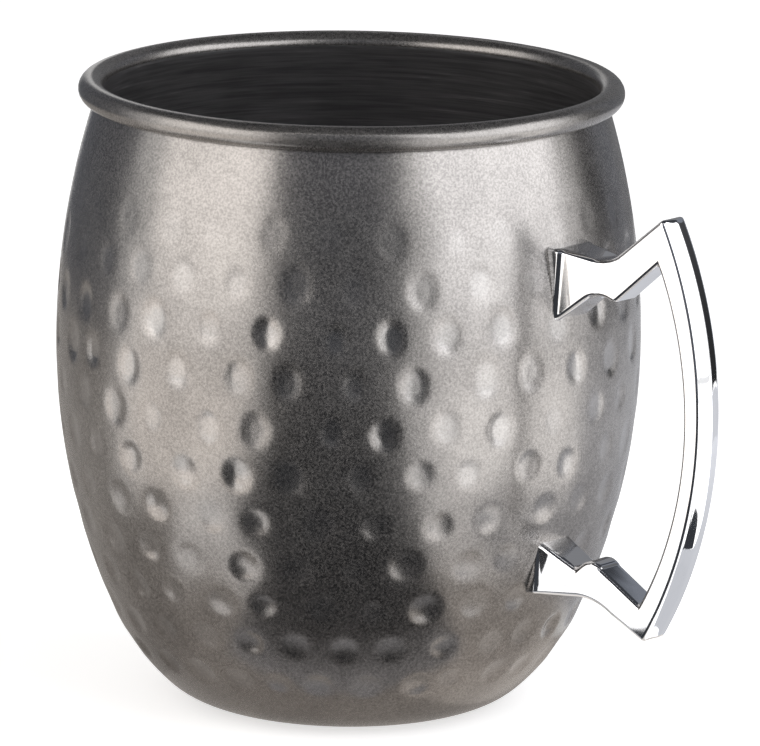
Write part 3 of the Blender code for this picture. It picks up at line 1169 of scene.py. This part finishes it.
@dataclass
class Fixing:
    """One screw and its sealing washer behind a foot, square to the wall."""

    wall: Wall
    level: Level
    seat_height: float
    upper_rise: float = 0.6 * MM
    lower_rise: float = 1.0 * MM
    screw_radius: float = 1.5 * MM
    grip: float = 4.6 * MM
    tip_ease: float = 0.25
    head_radius: float = 2.85 * MM
    head_height: float = 1.65 * MM
    head_rim: float = 0.25
    head_crest: float = 0.45
    dome_cuts: int = 10
    socket_radius: float = 1.15 * MM
    socket_depth: float = 0.9 * MM
    socket_sides: int = 6
    screw_sharp: float = math.radians(40.0)
    washer_radius: float = 3.6 * MM
    washer_thickness: float = 1.0 * MM
    washer_ease: float = 0.35
    ease_cuts: int = 3
    washer_sharp: float = math.radians(50.0)
    gap: float = 0.3 * MM
    steps: int = 48

    def _seat(self) -> tuple[Vector, float]:
        """Return where the screw passes the wall's outer face, as (radius, height), and the slope there."""
        rise = self.upper_rise if self.level is Level.UPPER else self.lower_rise
        return self.wall.at_height(self.seat_height + rise)

    def _placing(self, along: float) -> Matrix:
        """Place a part whose own Z runs out along the screw.

        Args:
            along: How far past the wall's outer face it starts.

        Returns:
            The part's place and turn.
        """
        place, slope = self._seat()
        direction = turned(sloped(slope))
        turn = direction.to_track_quat("Z", "Y").to_matrix().to_4x4()
        return Matrix.Translation(turned(place) + direction * along) @ turn

    def _washer_face(self) -> float:
        """Find the washer's outer face, clear of the hollow wall.

        Returns:
            Its place along the screw, past the wall's outer face.
        """
        place, slope = self._seat()
        inner = (place.x - self.wall.sheet) / math.cos(slope)
        return -self.wall.sheet - self.gap - self.washer_radius**2 / (2.0 * inner)

    def build(self) -> list[bpy.types.Object]:
        """Return the finished screw and washer."""
        return [self._screw(), self._washer()]

    def _screw(self) -> bpy.types.Object:
        """Turn the button-head screw and sink its socket.

        Returns:
            The finished piece.
        """
        under = self._washer_face() - self.washer_thickness - self.gap
        tip = self.grip - under
        ease = self.screw_radius * self.tip_ease
        rim = self.head_height * self.head_rim
        fall = self.head_radius * (1.0 - self.head_crest)
        shank = [(0.0, tip), (self.screw_radius - ease, tip), (self.screw_radius, tip - ease)]
        shank += [(self.screw_radius, 0.0), (self.head_radius, 0.0)]
        dome = [
            (self.head_radius - fall * (1.0 - math.cos(a)), -rim - (self.head_height - rim) * math.sin(a))
            for a in (QUARTER * i / self.dome_cuts for i in range(self.dome_cuts + 1))
        ]
        profile = [Vector(point) for point in [*shank, *dome, (0.0, -self.head_height)]]
        shape = spun(profile, self.steps)
        self._sink_socket(shape)
        bmesh.ops.transform(shape, matrix=self._placing(under), verts=shape.verts)
        name, node = f"{self.level.value}_button_screw", f"{self.level.value}_screw"
        piece = link_piece(name, shape, [ScrewSteel().material()], [node])
        piece.data.set_sharp_from_angle(angle=self.screw_sharp)
        return piece

    def _sink_socket(self, shape: bmesh.types.BMesh) -> None:
        """Cut the hexagon socket into the middle of the head.

        Args:
            shape: The screw's mesh, head down.
        """
        tool = bmesh.new()
        bmesh.ops.create_cone(
            tool, cap_ends=True, segments=self.socket_sides, radius1=self.socket_radius,
            radius2=self.socket_radius, depth=2.0 * self.socket_depth,
            matrix=Matrix.Translation((0.0, 0.0, -self.head_height)),
        )
        solids = []
        for part in (shape, tool):
            mesh = bpy.data.meshes.new("socket_work")
            part.to_mesh(mesh)
            solids.append(add_object("socket_work", mesh))
        cut = solids[0].modifiers.new("Socket", "BOOLEAN")
        cut.operation = "DIFFERENCE"
        cut.solver = "EXACT"
        cut.object = solids[1]
        graph = bpy.context.evaluated_depsgraph_get()
        result = bpy.data.meshes.new_from_object(solids[0].evaluated_get(graph))
        shape.clear()
        shape.from_mesh(result)
        tool.free()
        for item in solids:
            bpy.data.objects.remove(item, do_unlink=True)
        shade_smooth(shape)

    def _washer(self) -> bpy.types.Object:
        """Turn the sealing washer with rounded edges.

        Returns:
            The finished piece.
        """
        bore = self.screw_radius + self.gap
        top = self.washer_thickness
        ease = self.washer_thickness * self.washer_ease
        pitch = ease / self.ease_cuts
        profile = [Vector((bore, top))]
        profile += arc(Vector((self.washer_radius - ease, top - ease)), ease, QUARTER, 0.0, pitch)
        profile += arc(Vector((self.washer_radius - ease, ease)), ease, 0.0, -QUARTER, pitch)
        profile.append(Vector((bore, 0.0)))
        shape = spun(profile, self.steps, closed=True)
        place = self._placing(self._washer_face() - self.washer_thickness)
        bmesh.ops.transform(shape, matrix=place, verts=shape.verts)
        name, node = f"{self.level.value}_rubber_washer", f"{self.level.value}_sealing_washer"
        piece = link_piece(name, shape, [SealRubber().material()], [node])
        piece.data.set_sharp_from_angle(angle=self.washer_sharp)
        return piece


@dataclass
class Softbox:
    """A large lamp that faces the mug, placed by degrees of turn from the camera's side and of rise."""

    name: str
    turn: float
    rise: float
    distance: float
    width: float
    height: float
    radiance: float
    colour: Colour

    def build(self, studio: "Studio") -> bpy.types.Object:
        """Hang the lamp.

        Args:
            studio: The studio that it hangs in.

        Returns:
            The lamp.
        """
        data = bpy.data.lights.new(self.name, "AREA")
        data.shape = "RECTANGLE"
        data.size = self.width
        data.size_y = self.height
        data.color = self.colour
        data.energy = self.radiance * math.pi * self.width * self.height
        lamp = add_object(self.name, data)
        direction = studio.direction(self.turn, self.rise)
        lamp.location = studio.target + direction * self.distance
        lamp.rotation_euler = direction.to_track_quat("Z", "Y").to_euler()
        return lamp


@dataclass
class Card:
    """A card that only reflections see, as a flag or reflector that shapes the light on metal.

    It stands with its near edge at a height, or lies flat there, and its far edge may be wider, moved aside
    and of another tone. Its widths are those of the near edge and the far one.
    """

    name: str
    turn: float
    reach: float
    low: float
    widths: Range
    length: float
    tone: float
    far_tone: Optional[float] = None
    tint: Colour = COOL
    lying: bool = False
    shift: float = 0.0
    skew: float = 0.0

    def build(self, studio: "Studio") -> bpy.types.Object:
        """Cut the card and put it up.

        Args:
            studio: The studio that it stands in.

        Returns:
            The card.
        """
        out = studio.direction(self.turn, 0.0)
        side = Vector((-out.y, out.x, 0.0))
        along = out if self.lying else Vector((0.0, 0.0, 1.0))
        start = out * self.reach + side * self.shift + Vector((0.0, 0.0, self.low))
        end = start + along * self.length + side * self.skew
        near_half, far_half = (side * (width / 2.0) for width in self.widths)
        shape = bmesh.new()
        corners = (start - near_half, start + near_half, end + far_half, end - far_half)
        shape.faces.new([shape.verts.new(corner) for corner in corners])
        card = add_object(self.name, to_mesh(self.name, shape, [self._glow(along, start.dot(along))]))
        card.visible_camera = False
        card.visible_diffuse = False
        card.visible_shadow = False
        card.visible_transmission = False
        card.visible_volume_scatter = False
        return card

    def _glow(self, along: Vector, near: float) -> bpy.types.Material:
        """Light the card evenly, or from its near edge's tone to the far one's.

        Args:
            along: Direction from the near edge to the far one.
            near: Where the near edge lies along it.

        Returns:
            The card's material.
        """
        material, graph = new_material(self.name)
        inputs: dict[Union[int, str], Any] = {"Color": (*self.tint, 1.0), "Strength": self.tone}
        if self.far_tone is not None:
            vectors = {0: graph.place(), 1: along}
            dot = graph.add("ShaderNodeVectorMath", {"operation": "DOT_PRODUCT"}, vectors)
            share = Value(graph, dot.outputs["Value"]).step(near, near + self.length)
            tones = (tuple(tone * part for part in self.tint) for tone in (self.tone, self.far_tone))
            inputs = {"Color": graph.blend(share, *tones), "Strength": 1.0}
        graph.close(graph.add("ShaderNodeEmission", None, inputs))
        return material


@dataclass
class Studio:
    """The floor, lamps, flags and camera.

    The camera is set by where the target falls in the photograph, in pixels, and by the scale there. Mats lie
    a fraction of a millimetre over the floor, and where two overlap the higher one shows.
    """

    target: Vector = field(default_factory=lambda: Vector((0.0, 0.0, 50.0 * MM)))
    azimuth: float = math.radians(40.9)
    elevation: float = math.radians(12.79)
    distance: float = 1254.0 * MM
    pixels_per_metre: float = 6295.5
    target_x: float = 347.9
    target_y: float = 386.65
    roll: float = math.radians(0.723)
    sensor_width: float = 36.0
    view_end: float = 50.0
    floor_size: float = 12.0
    floor_sides: int = 96
    floor_paint: Colour = (0.84, 0.84, 0.84)
    floor_glow: float = 0.60
    sky_fill: float = 0.35
    softboxes: tuple[Softbox, ...] = (
        Softbox("left_softbox", turn=-58.0, rise=30.0, distance=1.0, width=1.1, height=1.2,
                radiance=1.32, colour=WARM),
        Softbox("right_softbox", turn=65.0, rise=30.0, distance=1.0, width=1.3, height=1.2,
                radiance=1.75, colour=(0.985, 0.995, 1.03)),
    )
    cards: tuple[Card, ...] = (
        # Mats on the floor, which the lower half of the wall and the undersides of the arms mirror
        Card("near_mat", turn=0.0, reach=-0.05, low=0.0003, widths=(0.10, 0.10), length=0.10,
             tone=0.50, tint=WARM, lying=True, shift=-0.006),
        Card("left_heel_mat", turn=-100.0, reach=0.03, low=0.0004, widths=(0.045, 0.16), length=0.075,
             tone=0.40, tint=WARM, lying=True),
        Card("left_mat", turn=-128.0, reach=0.037, low=0.0005, widths=(0.06, 0.50), length=0.36,
             tone=0.45, tint=WARM, lying=True),
        Card("right_mat", turn=130.0, reach=0.05, low=0.0006, widths=(0.08, 0.50), length=0.36,
             tone=0.70, tint=PALE, lying=True),
        Card("right_heel_mat", turn=57.0, reach=0.028, low=0.00045, widths=(0.05, 0.09), length=0.04,
             tone=0.85, far_tone=0.70, tint=WARM, lying=True),
        Card("foot_mat", turn=0.0, reach=0.034, low=0.0010, widths=(0.058, 0.066), length=0.019,
             tone=0.50, far_tone=0.04, tint=PALE, lying=True),
        Card("toe_mat", turn=0.0, reach=0.052, low=0.0010, widths=(0.066, 0.072), length=0.018,
             tone=0.04, lying=True),
        Card("front_mat", turn=0.0, reach=0.068, low=0.0009, widths=(0.088, 0.407), length=0.382,
             tone=0.04, lying=True, shift=-0.006, skew=-0.0575),
        Card("front_left_mat", turn=0.0, reach=0.073, low=0.00095, widths=(0.036, 0.05), length=0.04,
             tone=0.05, lying=True, shift=-0.036, skew=-0.034),
        Card("grip_mat", turn=96.0, reach=0.06, low=0.0007, widths=(0.16, 0.30), length=0.16,
             tone=0.62, far_tone=0.85, tint=PALE, lying=True),
        Card("left_reflector", turn=-62.0, reach=0.12, low=0.0008, widths=(0.12, 0.50), length=0.40,
             tone=1.6, tint=WARM, lying=True),
        Card("right_reflector", turn=64.0, reach=0.11, low=0.0008, widths=(0.12, 0.58), length=0.40,
             tone=2.0, tint=(1.0, 0.99, 0.985), lying=True),
        Card("wedge_flag", turn=61.0, reach=0.110, low=0.0010, widths=(0.022, 0.006), length=0.035,
             tone=0.04, lying=True, shift=-0.004),
        # Flags that stand or hang round the mug, which the upper half of the wall and the grip mirror
        Card("front_flag", turn=-4.0, reach=0.45, low=0.0, widths=(0.46, 0.47), length=0.50,
             tone=0.085, far_tone=0.21, skew=-0.05),
        Card("left_flag", turn=-129.0, reach=0.40, low=0.0, widths=(0.50, 0.50), length=0.50,
             tone=0.14, skew=-0.10),
        Card("right_flag", turn=116.0, reach=0.45, low=0.0, widths=(0.14, 0.14), length=0.50,
             tone=0.025, far_tone=0.16, tint=PALE, skew=-0.02),
        Card("right_side_flag", turn=135.5, reach=0.45, low=0.0, widths=(0.17, 0.17), length=0.50,
             tone=0.22, skew=-0.02),
        Card("back_flag", turn=165.0, reach=0.42, low=0.0, widths=(0.30, 0.34), length=0.50,
             tone=0.22, tint=PALE),
        Card("overhead_flag", turn=0.0, reach=-0.25, low=0.33, widths=(0.56, 0.56), length=0.50,
             tone=0.05, lying=True),
    )

    def direction(self, turn: float, rise: float) -> Vector:
        """Find a direction out from the mug.

        Args:
            turn: Its turn to the right of the camera's side, in degrees.
            rise: Its rise over the floor, in degrees.

        Returns:
            The direction.
        """
        return turned(sloped(math.radians(rise)), self.azimuth - QUARTER + math.radians(turn))

    def build(self) -> None:
        """Set up the whole studio."""
        bpy.context.scene.view_settings.view_transform = "Standard"
        self._camera()
        self._floor()
        self._world()
        for lamp in self.softboxes:
            lamp.build(self)
        for card in self.cards:
            card.build(self)

    def _camera(self) -> None:
        """Place the camera at the photograph's viewing angle."""
        data = bpy.data.cameras.new("photo_camera")
        data.sensor_fit = "HORIZONTAL"
        data.sensor_width = self.sensor_width
        data.lens = self.pixels_per_metre * self.distance / PHOTO_WIDTH * self.sensor_width
        data.shift_x = (PHOTO_WIDTH / 2.0 - self.target_x) / PHOTO_WIDTH
        data.shift_y = (self.target_y - PHOTO_HEIGHT / 2.0) / PHOTO_WIDTH
        data.clip_end = self.view_end
        camera = add_object("photo_camera", data)
        back = self.direction(0.0, math.degrees(self.elevation))
        camera.location = self.target + back * self.distance
        turn = back.to_track_quat("Z", "Y").to_matrix().to_4x4()
        camera.rotation_euler = (turn @ Matrix.Rotation(self.roll, 4, "Z")).to_euler()
        bpy.context.scene.camera = camera

    def _floor(self) -> None:
        """Lay a plain pale floor that keeps the mug's shadow."""
        shape = bmesh.new()
        bmesh.ops.create_circle(shape, cap_ends=True, segments=self.floor_sides, radius=self.floor_size / 2.0)
        material, graph = new_material("pale_floor")
        strength = graph.seen() * self.floor_glow
        paint = graph.add("ShaderNodeBsdfDiffuse", None, {"Color": (*self.floor_paint, 1.0)})
        glow = graph.add("ShaderNodeEmission", None, {"Color": (*WHITE, 1.0), "Strength": strength})
        graph.close(graph.add("ShaderNodeAddShader", None, {0: paint.outputs[0], 1: glow.outputs[0]}))
        add_object("studio_floor", to_mesh("studio_floor", shape, [material]))

    def _world(self) -> None:
        """Light everything softly and show white behind the mug."""
        world = bpy.data.worlds.new("studio_world")
        world.use_nodes = True
        bpy.context.scene.world = world
        graph = Graph(world.node_tree)
        strength = self.sky_fill + graph.seen() * (1.0 - self.sky_fill)
        sky = graph.add("ShaderNodeBackground", None, {"Color": (*WHITE, 1.0), "Strength": strength})
        graph.close(sky, "ShaderNodeOutputWorld")


def main() -> None:
    """Build the mug's pieces and the studio round them."""
    logging.basicConfig(level=logging.INFO, format="%(name)s %(message)s")
    wall = Wall()
    handle = Handle(wall)
    Body(wall, HammerMarks()).build(handle.seats())
    handle.build()
    for level in Level:
        Fixing(wall, level, handle.seat_height(level)).build()
    Studio().build()


if __name__ == "__main__":
    main()
